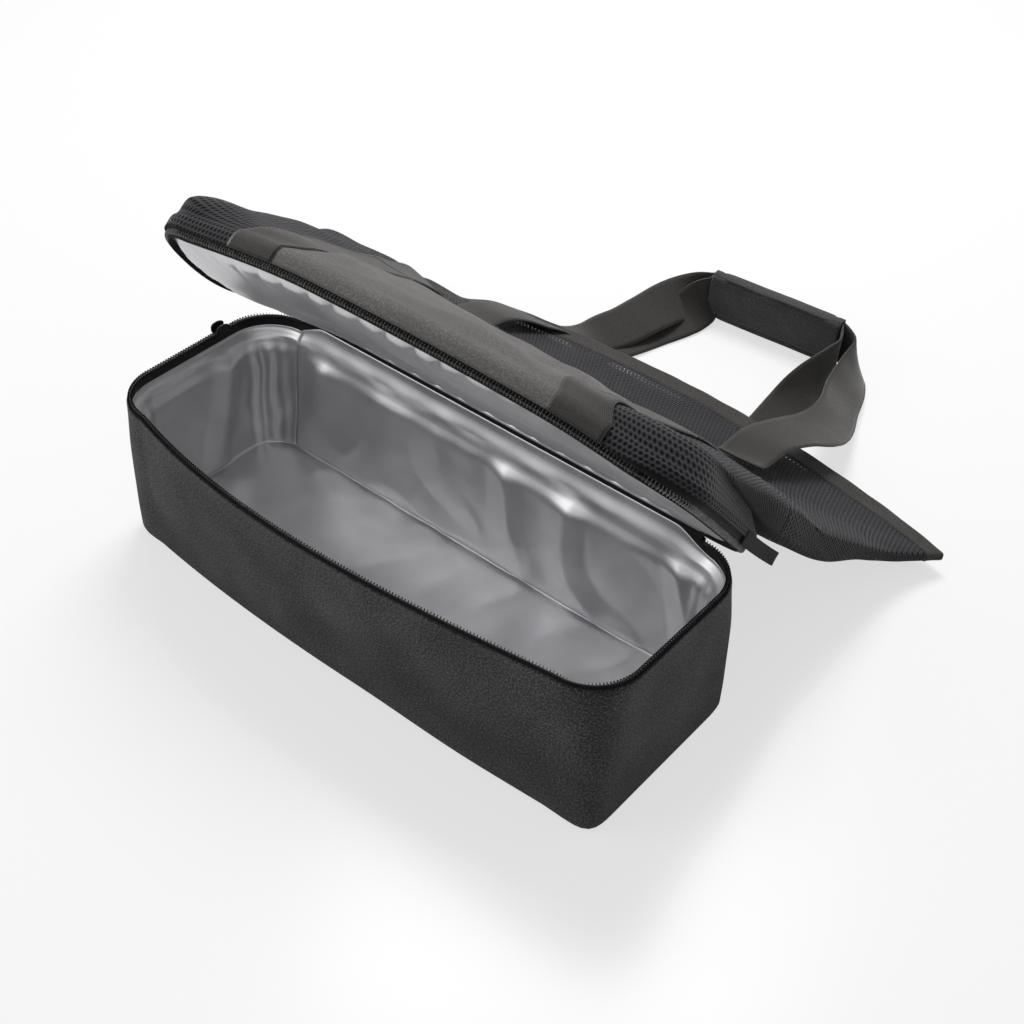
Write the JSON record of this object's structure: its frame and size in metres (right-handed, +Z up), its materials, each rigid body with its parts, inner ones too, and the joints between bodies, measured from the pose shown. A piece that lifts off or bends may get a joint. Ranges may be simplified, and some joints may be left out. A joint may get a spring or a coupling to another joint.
{
  "type": "insulated cooler tote bag",
  "caption": "Soft insulated box with a zipped hinged lid and foil lining, and a mesh tote sewn to its lid with webbing handles joined by a wrapped grip.",
  "frame": {"origin": "centre of the foot of the cooler box, on the floor", "axes": "+X along the bag, -Y the open front, +Y the hinge side where the tote lies, +Z up"},
  "size_m": [0.5623, 0.5954, 0.2747],
  "materials": {
    "polyester": "black and charcoal speckled woven polyester, matt",
    "floor_board": "matt board covered in the shell cloth",
    "foam": "closed-cell foam sheet, matt",
    "foil": "satin metallised film, softly wrinkled",
    "zip_coil": "black nylon coil",
    "zip_metal": "black coated metal, satin",
    "mesh": "open polyester spacer mesh, matt",
    "webbing": "ribbed charcoal webbing, matt",
    "tape": "black woven tape, matt"
  },
  "bodies": {
    "cooler": {"base_bottom": "floor_board", "base_foam_back": "foam", "base_foam_floor": "foam", "base_foam_front": "foam", "base_foam_left": "foam", "base_foam_right": "foam", "base_liner": "foil", "base_shell": "polyester", "base_zip_coil": "zip_coil", "base_zip_tape": "tape", "hinge_piping": "tape", "hinge_strip": "tape"},
    "slider": {"zip_slider": "zip_metal"},
    "pull": {"zip_pull": "zip_metal"},
    "lid": {"lid_binding": "tape", "lid_foam": "foam", "lid_hinge_flap": "tape", "lid_liner": "foil", "lid_top_panel": "polyester", "lid_zip_coil": "zip_coil", "lid_zip_tape": "tape", "zip_tail_tab": "tape", "strap_back_left_fold": "webbing", "strap_back_right_fold": "webbing", "strap_front_left_fold": "webbing", "strap_front_right_fold": "webbing", "tote_back_fold": "mesh", "tote_front_fold": "mesh", "tote_left_fold": "mesh", "tote_right_fold": "mesh", "front_pocket_panel": "polyester"},
    "tote": {"hem_back_left": "polyester", "hem_back_middle": "polyester", "hem_back_right": "polyester", "hem_front": "polyester", "strap_back_left": "webbing", "strap_back_right": "webbing", "strap_front_left": "webbing", "strap_front_left_arch": "webbing", "strap_front_right": "webbing", "strap_front_right_arch": "webbing", "tote_back_mesh": "mesh", "tote_front_mesh": "mesh", "tote_left_mesh": "mesh", "tote_right_mesh": "mesh"},
    "handles": {"handle_front": "webbing", "handle_back": "webbing", "handle_wrap": "polyester", "wrap_hook_strip": "tape"},
    "flap": {"wrap_flap": "polyester", "wrap_loop_strip": "tape"}
  },
  "joints": [
    {"name": "lid_hinge", "type": "hinge", "parent": "cooler", "child": "lid", "pos_m": [0, 0.083, 0.13], "axis": [1, 0, 0], "range_deg": [-40, 50], "deforming": ["strap_back_left_fold", "strap_back_right_fold", "strap_front_left_fold", "strap_front_right_fold", "tote_back_fold", "tote_front_fold", "tote_left_fold", "tote_right_fold", "front_pocket_panel"]},
    {"name": "tote_lift", "type": "hinge", "parent": "cooler", "child": "tote", "pos_m": [0, 0.083, 0.13], "axis": [1, 0, 0], "range_deg": [0, 45]},
    {"name": "handle_swing", "type": "hinge", "parent": "tote", "child": "handles", "pos_m": [-0.14, 0.336, 0.035], "axis": [0.9992, 0.0251, 0.0301], "range_deg": [0, 90]},
    {"name": "wrap_flap_hinge", "type": "hinge", "parent": "handles", "child": "flap", "pos_m": [0.006, 0.481, 0.0466], "axis": [-0.9945, -0.1045, 0], "range_deg": [0, 150]},
    {"name": "zip_travel", "type": "slide", "parent": "cooler", "child": "slider", "axis": [0, -1, 0], "range_m": [0, 0.06]},
    {"name": "pull_hinge", "type": "hinge", "parent": "slider", "child": "pull", "pos_m": [-0.2327, 0.03, 0.1294], "axis": [0, 1, 0], "range_deg": [0, 100]}
  ]
}
